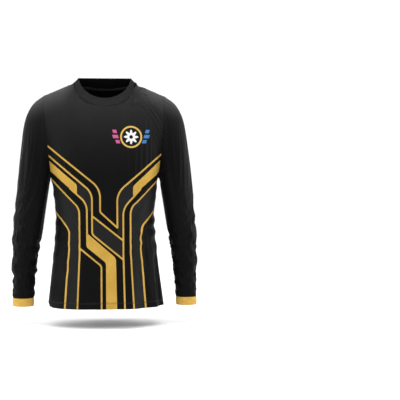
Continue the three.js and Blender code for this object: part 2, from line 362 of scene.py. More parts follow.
def wearer(points, faces):
    """The body inside the garment, which the cloth hangs on: close at the chest and shoulders,
    slack round the waist and along the arms."""
    x, z = np.abs(points[:, 0]), points[:, 2]
    slack = mix(7.0, 3.0, smooth(z, -470, -250))
    slack = np.where(x > SHOULDER_X, np.maximum(slack, mix(11.0, 4.0, smooth(z, -240, -70))), slack)
    sleeve_end = smooth(-z, -SLEEVE_END_Z - 90, -SLEEVE_END_Z)
    slack = np.where(x > 190, mix(slack, 6.0, sleeve_end), slack)
    form = points - point_normals(points, faces) * slack[:, None]
    return new_mesh("wearer_form", form * MM, faces)


def drape(points, faces):
    """Where the cloth comes to rest over the wearer, hung from the neckline and the sleeve ends."""
    cloth = new_mesh("draping", points * MM, faces)
    form = wearer(points, faces)
    form.modifiers.new("touch", "COLLISION")
    form.collision.thickness_outer = FORM_GAP
    form.collision.cloth_friction = 8

    pins = cloth.vertex_groups.new(name="pins")
    for name in PANELS:
        pins.add(grids[name].index[-1, neckline].tolist(), 1, "REPLACE")
    for side in HANDS:
        pins.add(grids[side].index[0].tolist(), 1, "REPLACE")

    modifier = cloth.modifiers.new("cloth", "CLOTH")
    for key, value in CLOTH.items():
        setattr(modifier.settings, key, value)
    modifier.settings.vertex_group_mass = "pins"
    modifier.collision_settings.collision_quality = 3
    modifier.collision_settings.distance_min = FORM_GAP
    modifier.collision_settings.use_self_collision = False
    modifier.point_cache.frame_start = 1
    modifier.point_cache.frame_end = DRAPE_FRAMES

    scene = bpy.context.scene
    for number in range(1, DRAPE_FRAMES + 1):
        scene.frame_set(number)
    evaluated = cloth.evaluated_get(bpy.context.evaluated_depsgraph_get())
    draped = np.array([v.co for v in evaluated.data.vertices], float) / MM
    scene.frame_set(1)
    for obj in (cloth, form):
        mesh = obj.data
        bpy.data.objects.remove(obj)
        bpy.data.meshes.remove(mesh)
    return draped


flat_sewn = sewn
moved = drape(sewn, sewn_faces) - sewn
moved[:, 2] *= DROP_KEPT
moved *= (1 - SLEEVE_CALM * smooth(np.abs(sewn[:, 0]), SHOULDER_X - 5, SHOULDER_X + 25))[:, None]
far = np.linalg.norm(moved, axis=1, keepdims=True)
moved *= MOST_DRAPE * np.tanh(far / MOST_DRAPE) / np.maximum(far, 1e-6)
sewn = sewn + moved
flat_sewn = mix(flat_sewn, sewn, PRINT_FOLLOWS)

# ---- Soft folds, as (x, z) from and to, half width and height, in millimetres. Both sides have them all,
# lower on the right and on the back.

FOLDS = [
    ((163, -300), (92, -368), 9, 2.6), ((163, -334), (102, -416), 10, 2.2),
    ((159, -372), (108, -458), 9, 1.8), ((159, -432), (86, -464), 8, 2.4),
    ((160, -474), (80, -508), 9, 2.2), ((164, -524), (92, -566), 10, 1.8),
    ((92, -40), (58, -160), 15, 1.4), ((66, -560), (78, -700), 14, 2.4),
    ((120, -590), (140, -700), 12, 2.0), ((22, -600), (14, -700), 13, 1.8),
]


def fold_heights(points):
    heights = np.zeros(len(points))
    flat = points[:, [0, 2]]
    on_back = points[:, 1] > 0
    for hand in (-1, 1):
        for n, (start, end, wide, high) in enumerate(FOLDS):
            a = np.array([start[0] * hand, start[1] + hand * (5 + n % 3 * 4)], float)
            b = np.array([end[0] * hand, end[1] - hand * (n % 4 * 5)], float)
            ab = b - a
            t = ((flat - a) @ ab) / (ab @ ab)
            away = np.linalg.norm(flat - a - np.clip(t, 0, 1)[:, None] * ab, axis=1)
            shape = np.exp(-((away / wide) ** 2)) - 0.55 * np.exp(-(((away - 1.9 * wide) / wide) ** 2))
            heights += high * shape * (0.8 + 0.2 * hand) * np.where(on_back, 0.85, 1)
    return heights * (1 - smooth(np.abs(points[:, 0]), ARMPIT_X + 1, ARMPIT_X + 12))


normals = point_normals(sewn, sewn_faces)
sewn = sewn + normals * (fold_heights(flat_sewn) * (1 - np.minimum(held, 1) * (sewn[:, 2] > -300)))[:, None]

# ---- Finished pieces


def unit(vectors):
    return vectors / np.maximum(np.linalg.norm(vectors, axis=-1, keepdims=True), 1e-9)


def grid_normals(points, wrap=False):
    if wrap:
        columns = np.concatenate([points[:, -2:-1], points, points[:, 1:2]], 1)
        du = columns[:, 2:] - columns[:, :-2]
    else:
        du = np.gradient(points, axis=1)
    dv = np.gradient(points, axis=0)
    return unit(np.cross(du, dv))


class Surface:
    """A finished piece's outer face, as a grid, and the way out of it at each point."""

    def __init__(self, points, wrap):
        self.points = points
        self.wrap = wrap
        self.normals = grid_normals(points, wrap)

    def at(self, row, column, lift):
        """Points on the face at fractional rows and columns, from 0 to 1, lifted off it."""
        rows, columns = self.points.shape[:2]
        r = np.clip(np.asarray(row, float), 0, 1) * (rows - 1)
        c = np.clip(np.asarray(column, float), 0, 1) * (columns - 1)
        r, c = np.broadcast_arrays(r, c)
        i = np.minimum(r.astype(int), rows - 2)
        j = np.minimum(c.astype(int), columns - 2)
        a, b = (r - i)[..., None], (c - j)[..., None]

        def sample(field):
            lower = mix(field[i, j], field[i, j + 1], b)
            return mix(lower, mix(field[i + 1, j], field[i + 1, j + 1], b), a)

        return sample(self.points) + unit(sample(self.normals)) * lift


def shell(name, surface, depth):
    """A closed sheet of cloth: the outer face, the inner face depth below it, and the cut edges."""
    outer = surface.points
    inner = outer - surface.normals * depth[..., None]
    rows, columns = outer.shape[:2]
    if surface.wrap:
        outer, inner, columns = outer[:, :-1], inner[:, :-1], columns - 1
    count = rows * columns
    index = np.arange(count).reshape(rows, columns)
    if surface.wrap:
        index = np.concatenate([index, index[:, :1]], 1)
    quads = [index[:-1, :-1], index[:-1, 1:], index[1:, 1:], index[1:, :-1]]
    face = np.stack(quads, -1).reshape(-1, 4)
    faces = [face, face[:, ::-1] + count]
    edges = [(index[0, 1:], index[0, :-1]), (index[-1, :-1], index[-1, 1:])]
    if not surface.wrap:
        edges += [(index[:-1, 0], index[1:, 0]), (index[1:, -1], index[:-1, -1])]
    for a, b in edges:
        faces.append(np.stack([a, b, b + count, a + count], -1))
    points = np.concatenate([outer.reshape(-1, 3), inner.reshape(-1, 3)])
    obj = new_mesh(name, points * MM, np.concatenate(faces))
    obj["outer_faces"] = len(face)
    return obj


def line_inside(obj, outer, inner):
    """Gives the outer face and cut edges one material and the inner face another."""
    obj.data.materials.append(outer)
    obj.data.materials.append(inner)
    count = obj["outer_faces"]
    index = np.zeros(len(obj.data.polygons), np.int32)
    index[count : 2 * count] = 1
    obj.data.polygons.foreach_set("material_index", index)


def store(obj, name, values, vector=False):
    """Keeps a named number, or a vector, at each point."""
    layer = obj.data.attributes.new(name, "FLOAT_VECTOR" if vector else "FLOAT", "POINT")
    layer.data.foreach_set("vector" if vector else "value", values.reshape(-1).astype(np.float32))


def paint(obj, name, values, vector=False):
    """Keeps named values for a shell, the same on its outer and its inner face."""
    store(obj, name, np.tile(values.reshape(-1), 2), vector)


# ---- The print: gold lines and bands, and two tones of ground, in the garment's flat X and Z, mm.
# Each corner is (x, z, radius). Lines run on past the panel's edge, which cuts them off.

LINE = 5.0
PRINT_LINES = [
    [(-199, -179, 0), (-16.5, -328, 60), (-16.5, -400, 10), (35.5, -448, 0), (35.2, -341, 60),
     (199, -203, 0)],
    [(-199, -206, 0), (-41, -340, 50), (-41, -468, 16), (51.5, -544, 0)],
    [(-41, -411.5, 0), (51.5, -486, 0)],
    [(-107, -329, 0), (-56.6, -373, 50), (-56.6, -488, 0)],
    [(57.5, -708, 0), (53.3, -536, 0), (53.3, -389, 55), (107, -331, 0)],
    [(-199, -268, 0), (-157, -308, 0), (-80, -389, 45), (-79.6, -518, 0), (-87.5, -708, 0)],
    [(-79.6, -510, 0), (-13.8, -564, 13), (-13.8, -708, 0)],
    [(-184, -367, 0), (-111.7, -452, 45), (-111.7, -512, 0), (-126.5, -708, 0)],
    [(205, -264, 0), (159, -307, 0), (75.6, -389, 45), (75.6, -518, 0), (85, -708, 0)],
    [(193, -357, 0), (107.4, -449, 45), (107.4, -512, 0), (125, -708, 0)],
]
PRINT_BANDS = [
    [(-199, -220.5, 0), (-86.3, -316, 14), (-86.3, -348, 0), (-199, -249, 0)],
    [(205, -211, 0), (205, -247.5, 0), (83.6, -350.6, 0), (83.6, -321.5, 14)],
    [(-59.1, -462, 0), (30.3, -539.5, 24), (33.4, -720, 0), (0, -720, 0), (0, -554, 16), (-59.1, -506, 14)],
]
GREY_AREAS = [
    [(-199, -268, 0), (-157, -308, 0), (-80, -389, 45), (-79.6, -518, 0), (-87.5, -720, 0), (-126.5, -720, 0),
     (-111.7, -512, 0), (-111.7, -452, 45), (-199, -350, 0)],
    [(205, -264, 0), (159, -307, 0), (75.6, -389, 45), (75.6, -518, 0), (85, -720, 0), (125, -720, 0),
     (107.4, -512, 0), (107.4, -449, 45), (205, -344, 0)],
    [(-41, -411.5, 0), (51.5, -486, 0), (51.5, -544, 0), (-41, -468, 0)],
    [(-86.3, -302, 0), (-41, -340, 50), (-41, -395, 0), (-56.6, -400, 0), (-56.6, -373, 50),
     (-86.3, -347, 0)],
    [(35.2, -341, 60), (83.6, -303, 0), (83.6, -350, 0), (53.3, -389, 40), (53.3, -480, 0), (35.2, -465, 0)],
]


def rounded(corners, closed, steps=8):
    """The outline through corners (x, z, radius), with an arc at each corner that has a radius."""
    path = []
    count = len(corners)
    for i, (x, z, radius) in enumerate(corners):
        here = np.array([x, z], float)
        if radius == 0 or (not closed and i in (0, count - 1)):
            path.append(here)
            continue
        before = unit(np.array(corners[i - 1][:2], float) - here)
        after = unit(np.array(corners[(i + 1) % count][:2], float) - here)
        half = math.acos(np.clip(before @ after, -1, 1)) / 2
        reach = radius / math.tan(half)
        centre = here + unit(before + after) * radius / math.sin(half)
        first, last = here + before * reach - centre, here + after * reach - centre
        for t in np.linspace(0, 1, steps + 1):
            path.append(centre + unit(mix(first, last, t)) * radius)
    return np.array(path + path[:1] if closed else path)


def path_distance(points, path):
    """Distance from each point to a path."""
    best = np.full(points.shape[:-1], np.inf)
    for a, b in zip(path[:-1], path[1:]):
        ab = b - a
        length = ab @ ab
        if length < 1e-9:
            continue
        t = np.clip(((points - a) @ ab) / length, 0, 1)
        best = np.minimum(best, np.linalg.norm(points - a - t[..., None] * ab, axis=-1))
    return best


def inside(points, path):
    """Whether each point is inside a closed path, by counting the edges to its right."""
    x, z = points[..., 0], points[..., 1]
    crossings = np.zeros(x.shape, bool)
    for (ax, az), (bx, bz) in zip(path[:-1], path[1:]):
        if az == bz:
            continue
        crosses = (az > z) != (bz > z)
        crossings ^= crosses & (x < (bx - ax) * (z - az) / (bz - az) + ax)
    return crossings


def area_distance(points, corners):
    """Signed distance to a rounded outline, less than 0 inside."""
    path = rounded(corners, True)
    return np.where(inside(points, path), -1, 1) * path_distance(points, path)


def print_distance(flat):
    lines = [path_distance(flat, rounded(line, False)) - LINE / 2 for line in PRINT_LINES]
    return np.min(lines + [area_distance(flat, band) for band in PRINT_BANDS], axis=0)


def ground_distance(flat):
    return np.min([area_distance(flat, area) for area in GREY_AREAS], axis=0)


# ---- The emblem: an eight-petalled rosette in a ring, with three slanted bars on either side

EMBLEMS = {
    "front": dict(centre=(79.0, -172.0), width=122.0, height=68.0),
    "back": dict(centre=(0.0, -158.0), width=288.0, height=130.0),
}

# ---- Materials


class Material:
    """A material drawn by nodes. Most methods add nodes and return the socket that has their result."""

    def __init__(self, name):
        self.data = bpy.data.materials.new(name)
        self.data.use_nodes = True
        self.tree = self.data.node_tree
        self.shader = self.tree.nodes["Principled BSDF"]

    def give(self, node, inputs):
        """Sets a node's inputs, by name or number, and links the ones whose value is another socket."""
        for key, value in inputs.items():
            socket = node.inputs[key]
            if isinstance(value, bpy.types.NodeSocket):
                self.tree.links.new(value, socket)
            elif isinstance(value, tuple):
                socket.default_value = (*value, 1)[: len(socket.default_value)]
            else:
                socket.default_value = value

    def node(self, kind, inputs=(), **values):
        node = self.tree.nodes.new(f"ShaderNode{kind}")
        for key, value in values.items():
            setattr(node, key, value)
        self.give(node, dict(inputs))
        return node

    def attribute(self, name, output="Fac"):
        return self.node("Attribute", attribute_name=name).outputs[output]

    def place(self):
        return self.node("TexCoord").outputs["Object"]

    def split(self, vector):
        return self.node("SeparateXYZ", {0: vector}).outputs[:2]

    def do(self, operation, *values):
        """The result of a math node on one or two values."""
        return self.node("Math", enumerate(values), operation=operation).outputs[0]

    def scaled(self, source, scale):
        return self.node("VectorMath", {0: source, 1: scale}, operation="MULTIPLY").outputs[0]

    def ramp(self, source, low, high, start=0.0, end=1.0):
        """Goes from start to end as source goes from low to high."""
        inputs = {"Value": source, "From Min": low, "From Max": high, "To Min": start, "To Max": end}
        return self.node("MapRange", inputs).outputs["Result"]

    def noise(self, source, scale, detail):
        inputs = {"Vector": source, "Scale": scale, "Detail": detail}
        return self.node("TexNoise", inputs).outputs["Fac"]

    def blend(self, factor, first, second):
        """The first colour where factor is 0, the second where it is 1."""
        return self.node("Mix", {0: factor, 6: first, 7: second}, data_type="RGBA").outputs[2]

    def knit(self, cloth, wale, course):
        """Height of columns of V-shaped stitches: wale is their width and course their height, mm."""
        x, y = self.split(cloth)
        column = self.do("PINGPONG", self.do("MULTIPLY", x, 1 / wale), 0.5)
        phase = self.do("ADD", self.do("MULTIPLY", y, 1 / course), self.do("MULTIPLY", column, 1.2))
        loop = self.do("PINGPONG", phase, 0.5)
        ridge = self.do("SINE", self.do("MULTIPLY", column, 2 * math.pi))
        return self.do("ADD", self.do("MULTIPLY", loop, 1.2), ridge)

    def finish(self, inputs, height, strength, distance):
        """Sets the shader's inputs and bump, and returns the material."""
        bump = self.node("Bump", {"Height": height, "Strength": strength, "Distance": distance})
        self.give(self.shader, {**inputs, "Normal": bump.outputs[0]})
        return self.data


def shade(colour, share):
    return tuple(share * c for c in colour)


BLACK = (0.0024, 0.0024, 0.0026)
# painted top light: the ground of the upper chest and back
CHEST_TOP_LIGHT = (0.0145, 0.0145, 0.0150)
# painted highlight along the shoulder tops
SHOULDER_HIGHLIGHT = (0.0480, 0.0480, 0.0490)
GREY = (0.0105, 0.0105, 0.0110)
GOLD = (0.375, 0.215, 0.028)
GOLD_PALE = (0.520, 0.335, 0.080)
WHITE = (0.62, 0.62, 0.61)
ROSE = (0.42, 0.085, 0.20)
BLUE = (0.045, 0.15, 0.36)
CHEST_TOP_LIGHT_FADE = (-330, -70)        # heights of black and of full painted top light, mm
SLEEVE_TOP_LIGHT_FADE = (-260, -110)
SHOULDER_HIGHLIGHT_FADE = (-80, -8)


def emblem_masks(m, flat, centre, width, height):
    """Masks of the emblem's ring, rosette, right-hand bars and left-hand bars, from the flat X and Z."""
    do = m.do
    across, up = m.split(flat)
    radius = height / 2
    x, z = do("SUBTRACT", across, centre[0]), do("SUBTRACT", up, centre[1])
    away = do("SQRT", do("ADD", do("MULTIPLY", x, x), do("MULTIPLY", z, z)))
    ring = do("SUBTRACT", do("ABSOLUTE", do("SUBTRACT", away, radius * 0.91)), radius * 0.075)
    lobe = do("COSINE", do("MULTIPLY", do("ARCTAN2", x, z), 8))
    petals = do("SUBTRACT", away, do("ADD", do("MULTIPLY", lobe, radius * 0.15), radius * 0.50))
    rosette = do("MAXIMUM", petals, do("SUBTRACT", radius * 0.17, away))
    bars = []
    for hand in (-1, 1):
        slanted = do("SUBTRACT", do("MULTIPLY", x, hand), do("MULTIPLY", z, 0.3))
        parts = []
        for i, length in enumerate((0.72, 1.0, 0.72)):
            start = radius * 1.14
            end = start + (width / 2 - radius * 0.16 - start) * length
            offset = do("ABSOLUTE", do("SUBTRACT", slanted, (start + end) / 2))
            wide = do("SUBTRACT", offset, (end - start) / 2)
            level = radius * (0.5 - 0.46 * i)
            high = do("SUBTRACT", do("ABSOLUTE", do("SUBTRACT", z, level)), radius * 0.15)
            parts.append(do("MAXIMUM", wide, high))
        bars.append(do("MINIMUM", do("MINIMUM", parts[0], parts[1]), parts[2]))
    return [m.ramp(part, -0.35, 0.35, 1, 0) for part in (ring, rosette, *bars)]


def jersey_material(name, emblem=None, fade=CHEST_TOP_LIGHT_FADE, top_light=CHEST_TOP_LIGHT, sheen=0.02):
    """Matte stretch knit, with the print dyed into it, and painted top light and a painted shoulder highlight
    in its ground.
    """
    m = Material(name)
    cloth = m.attribute("cloth", "Vector")
    speckle = m.noise(cloth, 0.9, 2)
    cloudy = m.noise(cloth, 0.012, 3)

    def mottled(colour, low=0.75, high=1.25):
        return m.blend(speckle, shade(colour, low), shade(colour, high))

    # painted light: the ground goes from black up to painted top light (on the panels also darker towards the
    # sides), and lighter still along the shoulder tops as a painted highlight
    ground = mottled(BLACK)
    for place, (low, high), colour in (("height", fade, top_light), ("shoulder", SHOULDER_HIGHLIGHT_FADE, SHOULDER_HIGHLIGHT)):
        share = m.ramp(m.attribute(place), low, high)
        ground = m.blend(m.do("MULTIPLY", share, share), ground, mottled(colour))
    if emblem:
        in_grey = m.ramp(m.attribute("grey_distance"), -1.5, 1.5, 1, 0)
        ground = m.blend(in_grey, ground, mottled(GREY))
        grain = m.noise(m.scaled(cloth, (0.5, 1.6, 1)), 0.8, 4)
        streak = m.noise(cloth, 0.02, 2)
        gold = m.blend(m.ramp(grain, 0.3, 0.7), GOLD, GOLD_PALE)
        gold = m.blend(m.ramp(streak, 0.35, 0.65, 0, 0.4), gold, shade(GOLD, 0.84))
        ground = m.blend(m.ramp(m.attribute("gold_distance"), -0.35, 0.35, 1, 0), ground, gold)
        for mask, ink in zip(emblem_masks(m, cloth, **emblem), (GOLD_PALE, WHITE, ROSE, BLUE)):
            ground = m.blend(mask, ground, mottled(ink, 0.9, 1.06))
    inputs = {
        "Base Color": ground, "Roughness": m.ramp(cloudy, 0.3, 0.7, 0.55, 0.68),
        "Specular IOR Level": 0.05, "Sheen Weight": sheen, "Sheen Roughness": 0.3,
    }
    return m.finish(inputs, m.knit(cloth, 1.1, 0.9), 0.25, 0.0002)


def rib_material(name, dark, light, sheen, shine):
    """Rib knit: fine ridges along the band's height, a little lighter on top of each ridge as a painted
    highlight, with darker streaks running round the band as painted shade in its faint folds.
    """
    m = Material(name)
    cloth = m.attribute("cloth", "Vector")
    speckle = m.noise(cloth, 1.1, 3)
    streak = m.noise(m.scaled(cloth, (0.15, 1.2, 1)), 0.35, 3)
    # lighter on the ridge tops: painted highlight, with painted shade in the grooves
    factor = m.do("MULTIPLY", m.do("ADD", speckle, m.attribute("ridge")), 0.5)
    colour = m.blend(factor, dark, light)
    # darker streaks round the band: painted shade in faint folds
    colour = m.blend(m.ramp(streak, 0.35, 0.7, 0, 0.6), colour, shade(dark, 0.72))
    inputs = {
        "Base Color": colour, "Roughness": m.ramp(speckle, 0.2, 0.8, 0.6, 0.78),
        "Specular IOR Level": shine, "Sheen Weight": sheen, "Sheen Roughness": 0.4,
    }
    return m.finish(inputs, m.knit(cloth, 0.9, 0.8), 0.3, 0.00015)


def thread_material(name, dark, light):
    """Twisted sewing thread."""
    m = Material(name)
    inputs = {"Vector": m.place(), "Scale": 900, "Distortion": 1.5}
    wave = m.node("TexWave", inputs, bands_direction="DIAGONAL").outputs["Fac"]
    inputs = {
        "Base Color": m.blend(wave, dark, light), "Roughness": m.ramp(wave, 0, 1, 0.5, 0.7),
        "Specular IOR Level": 0.2, "Sheen Weight": 0.05,
    }
    return m.finish(inputs, wave, 0.3, 0.0001)


PRINTED_KNIT = {key: jersey_material(f"printed_knit_{key}", EMBLEMS[key]) for key in PANELS}
# the sleeve's ground gets painted top light towards the shoulder
SLEEVE_KNIT = jersey_material("black_knit", fade=SLEEVE_TOP_LIGHT_FADE, top_light=(0.0055, 0.0055, 0.0058), sheen=0.06)
# darker than the outer knit: painted shade inside the garment and on the collar's inner side
SHADED_REVERSE_KNIT = rib_material("reverse_knit_painted_shade", (0.0012, 0.0012, 0.0013), (0.0032, 0.0032, 0.0034), 0.0, 0.03)
BLACK_RIB = rib_material("black_rib", (0.0060, 0.0060, 0.0062), (0.0150, 0.0150, 0.0155), 0.02, 0.08)
GOLD_RIB = rib_material("gold_rib", (0.450, 0.255, 0.034), (0.620, 0.400, 0.092), 0.03, 0.15)
THREAD = thread_material("black_thread", (0.006, 0.006, 0.0065), (0.028, 0.028, 0.030))
TAPE = rib_material("neck_tape", (0.005, 0.005, 0.0055), (0.016, 0.016, 0.017), 0.02, 0.10)

# ---- Panels


def seam_dip(surface, edges):
    """Draws the cloth in a little along its sewn edges."""
    rows, columns = surface.points.shape[:2]
    r, c = np.arange(rows)[:, None], np.arange(columns)[None, :]
    away = {"left": c, "right": columns - 1 - c, "bottom": r, "top": rows - 1 - r}
    distance = np.full((rows, columns), 99.0)
    for edge in edges:
        distance = np.minimum(distance, away[edge])
    depth = 0.9 * np.exp(-((distance / 0.8) ** 2))
    return Surface(surface.points - surface.normals * depth[..., None], surface.wrap)


surfaces = {}
pieces = {}


def shoulder_glow(points):
    """Greatest along the top of the shoulders, which catch the light."""
    x, z = np.abs(points[..., 0]), points[..., 2]
    return z + 0.44 * (x - NECK_X) - 70 * (1 - smooth(x, 55, 135)) - 0.6 * np.maximum(x - 215, 0)


for key in PANELS:
    rest = grids[key].finish(flat_sewn)
    flat = rest[..., [0, 2]]
    surface = seam_dip(Surface(grids[key].finish(sewn), False), ("left", "right", "top"))
    height = rest[..., 2] - HEM_Z
    depth = FABRIC * (1 + smooth(HEM_TURN + 1.2 - height, 0, 1.5))
    depth = depth * (1 - 0.6 * np.exp(-((height / 1.5) ** 2)))
    obj = shell(f"{key}_body", surface, depth)
    paint(obj, "gold_distance", print_distance(flat))
    paint(obj, "grey_distance", ground_distance(flat))
    paint(obj, "cloth", rest[..., [0, 2, 1]], True)
    # height drives the painted top light, which falls off towards the hem and towards the sides
    paint(obj, "height", flat[..., 1] - 0.0009 * flat[..., 0] ** 2)
    # shoulder drives the painted highlight along the shoulder tops
    paint(obj, "shoulder", shoulder_glow(rest))
    line_inside(obj, PRINTED_KNIT[key], SHADED_REVERSE_KNIT)
    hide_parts(f"{key}_panel")
    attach(obj, "torso")
    surfaces[key], pieces[key] = surface, obj

# ---- Sleeves

SLEEVE_GIRTH = 360.0
SLEEVE_LENGTH = 600.0

for side in HANDS:
    points = grids[side].finish(sewn)
    surface = seam_dip(Surface(points, True), ("top", "bottom"))
    rows, columns = surface.points.shape[:2]
    obj = shell(f"knit_sleeve_{side}", surface, np.full((rows, columns), FABRIC))
    girth = np.linspace(0, 1, columns)[None, :-1] * SLEEVE_GIRTH + np.zeros((rows, 1))
    reach = np.linspace(0, 1, rows)[:, None] * SLEEVE_LENGTH + np.zeros((1, columns - 1))
    paint(obj, "cloth", np.stack([girth, reach, 0 * girth], -1), True)
    # height drives the sleeve's painted top light
    paint(obj, "height", points[:, :-1, 2])
    # shoulder drives the painted highlight along the shoulder tops
    paint(obj, "shoulder", shoulder_glow(points[:, :-1]))
    line_inside(obj, SLEEVE_KNIT, SHADED_REVERSE_KNIT)
    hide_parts(f"sleeve_{side}")
    surfaces[side], pieces[side] = surface, obj

# ---- Collar and cuffs

# a band's cross-section: (up the band, into it), both as shares. It starts under the cloth.
BAND_SECTION = [
    (-0.14, 0.75), (-0.12, 0.55), (0.0, 0.45), (0.05, 0.12), (0.12, 0.0), (0.3, -0.03), (0.5, -0.04),
    (0.7, -0.03), (0.88, 0.0), (0.97, 0.12), (1.0, 0.5), (0.97, 0.88), (0.85, 1.0), (0.5, 1.0),
    (0.15, 1.0), (-0.12, 0.95),
]
BAND_MIDDLE = BAND_SECTION.index((0.5, -0.04))
BAND_HEIGHT = 26
RIB_GROOVE = 0.16


def band(name, centre, steps, rib_count, mat, inner_mat):
    """A closed rib band folded double. centre(angle, rise) gives the outer face and the way in."""
    angle = 2 * math.pi * np.arange(steps) / steps
    ridge = 0.5 + 0.5 * np.cos(angle * rib_count)
    rings = []
    for rise, deep in BAND_SECTION:
        point, inward = centre(angle, rise)
        groove = RIB_GROOVE * (1 - ridge) * np.sign(0.5 - deep)
        rings.append(point + inward * (deep * RIB + groove)[..., None])
    points = np.stack(rings, 1)
    rises, depths = np.array(BAND_SECTION).T
    size = len(rises)
    index = np.arange(steps * size).reshape(steps, size)
    nxt = np.roll(index, -1, axis=0)
    faces = np.stack([index, nxt, np.roll(nxt, -1, 1), np.roll(index, -1, 1)], -1).reshape(-1, 4)
    obj = new_mesh(name, points.reshape(-1, 3) * MM, faces)
    store(obj, "ridge", np.repeat(ridge, size))
    line = points[:, BAND_MIDDLE]
    length = np.linalg.norm(np.diff(line, axis=0, append=line[:1]), axis=-1)
    run = np.concatenate([[0], np.cumsum(length)[:-1]])
    cloth = np.stack([np.repeat(run, size), np.tile(rises * BAND_HEIGHT, steps), np.zeros(steps * size)], -1)
    store(obj, "cloth", cloth, True)
    obj.data.materials.append(mat)
    obj.data.materials.append(inner_mat)
    # faces on the band's inner side take inner_mat: on the collar the darker reverse knit, as painted shade
    inner = np.tile(np.minimum(depths, np.roll(depths, -1)) >= 0.85, steps)
    obj.data.polygons.foreach_set("material_index", inner.astype(np.int32))
    return obj


def collar_centre(angle, rise):
    cosine, sine = np.cos(angle), np.sin(angle)
    front = cosine > 0
    way = np.where(front, -1, 1)
    base = np.abs(cosine)
    # the open edge has no corner at the shoulders
    middle = mix(base, np.hypot(base, 0.14) - 0.14 * (1 - base), rise)

    def pick(key):
        return np.where(front, FRONT[key], BACK[key])

    lean = rise + 0.10 * math.sin(math.pi * rise)
    reach = mix(pick("neck_reach"), pick("collar_reach"), lean)
    top = COLLAR_RISE - pick("collar_dip") * middle
    z = mix(-pick("neck_drop") * middle, top, rise)
    point = np.stack([mix(NECK_X, COLLAR_X, lean) * sine, way * reach * middle, z], -1)
    low = np.stack([NECK_X * sine, way * pick("neck_reach") * base, -pick("neck_drop") * base], -1)
    high = np.stack([COLLAR_X * sine, way * pick("collar_reach") * middle, top], -1)
    ahead = np.gradient(low, axis=0)
    ahead[0] = low[1] - low[-1]
    ahead[-1] = low[0] - low[-2]
    inward = unit(np.cross(unit(high - low), ahead))
    flip = np.sign(np.sum(inward * low * np.array([1, 1, 0]), -1, keepdims=True))
    return point, -inward * flip


collar = band("rib_collar", collar_centre, 1440, 288, BLACK_RIB, SHADED_REVERSE_KNIT)
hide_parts("neckband")
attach(collar, "torso")


def cuff_centre(hand):
    middle_x = SHOULDER_X + SLEEVE_REACH - SLEEVE_END_WIDTH / 2

    def centre(angle, rise):
        x = middle_x + (SLEEVE_END_WIDTH / 2 - 0.4) * np.cos(angle)
        y = hand * (SLEEVE_END_DEPTH / 2 - 0.4) * np.sin(angle)
        swell = 0.5 * math.sin(math.pi * rise) + 0.25 * np.sin(3 * angle + 2 * rise)
        inward = np.stack([-hand * np.cos(angle), -hand * np.sin(angle), 0 * angle], -1)
        z = mix(cuff_high[2] + 0.4, cuff_low[2], rise) + 0 * angle
        return np.stack([hand * x, y, z], -1) - inward * swell[..., None], inward

    return centre


for side, hand in HANDS.items():
    cuff = band(f"rib_cuff_{side}", cuff_centre(hand), 600, 120, GOLD_RIB, GOLD_RIB)
    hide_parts(f"cuff_{side}")
    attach(cuff, f"arm_{side}")

# ---- Strips inside the seams

FRONT_S, BACK_S = surfaces["front"], surfaces["back"]
LOWER_END = LOWER_ROWS / (LOWER_ROWS + ARMHOLE_STEPS)
COLUMN = 1 / (2 * HALF_COLUMNS)
SHOULDER_END = SHOULDER_COLUMNS * COLUMN
STRIP = 0.9
UNDER = -(FABRIC + 0.5)


def strip(name, node, face, width, wrap=False):
    """A narrow closed strip of tape or overlocked cloth for a CAD node. face is its outer side, as a grid."""
    surface = Surface(face, wrap)
    rows, columns = surface.points.shape[:2]
    obj = shell(name, surface, np.full((rows, columns), STRIP))
    columns -= wrap
    run = np.arange(rows)[:, None] * 2.5 + np.zeros((1, columns))
    wide = np.linspace(0, width, columns)[None, :] + np.zeros((rows, 1))
    paint(obj, "cloth", np.stack([wide, run, 0 * run], -1), True)
    paint(obj, "ridge", 0 * run + 0.5)
    obj.data.materials.append(TAPE)
    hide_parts(node)
    return obj


def row_at(surface, columns, distance, from_top):
    """The row, as a fraction, that lies distance mm from the piece's top or lower edge in each column."""
    length = np.linalg.norm(np.diff(surface.points, axis=0), axis=-1)
    if from_top:
        length = length[::-1]
    run = np.concatenate([np.zeros((1, length.shape[1])), np.cumsum(length, axis=0)])
    count = len(run) - 1
    rows = np.array([np.interp(distance, column, np.arange(count + 1)) / count for column in run.T])
    if from_top:
        rows = 1 - rows
    return np.interp(columns, np.linspace(0, 1, len(rows)), rows)


def loop_at(columns, distance, lift, from_top):
    """A closed line round the front and the back, distance mm from their top or lower edge."""
    parts = []
    for surface in (FRONT_S, BACK_S):
        rows = row_at(surface, columns, distance, from_top)
        parts.append(surface.at(rows, columns, lift)[:-1])
    return np.concatenate(parts + [parts[0][:1]])


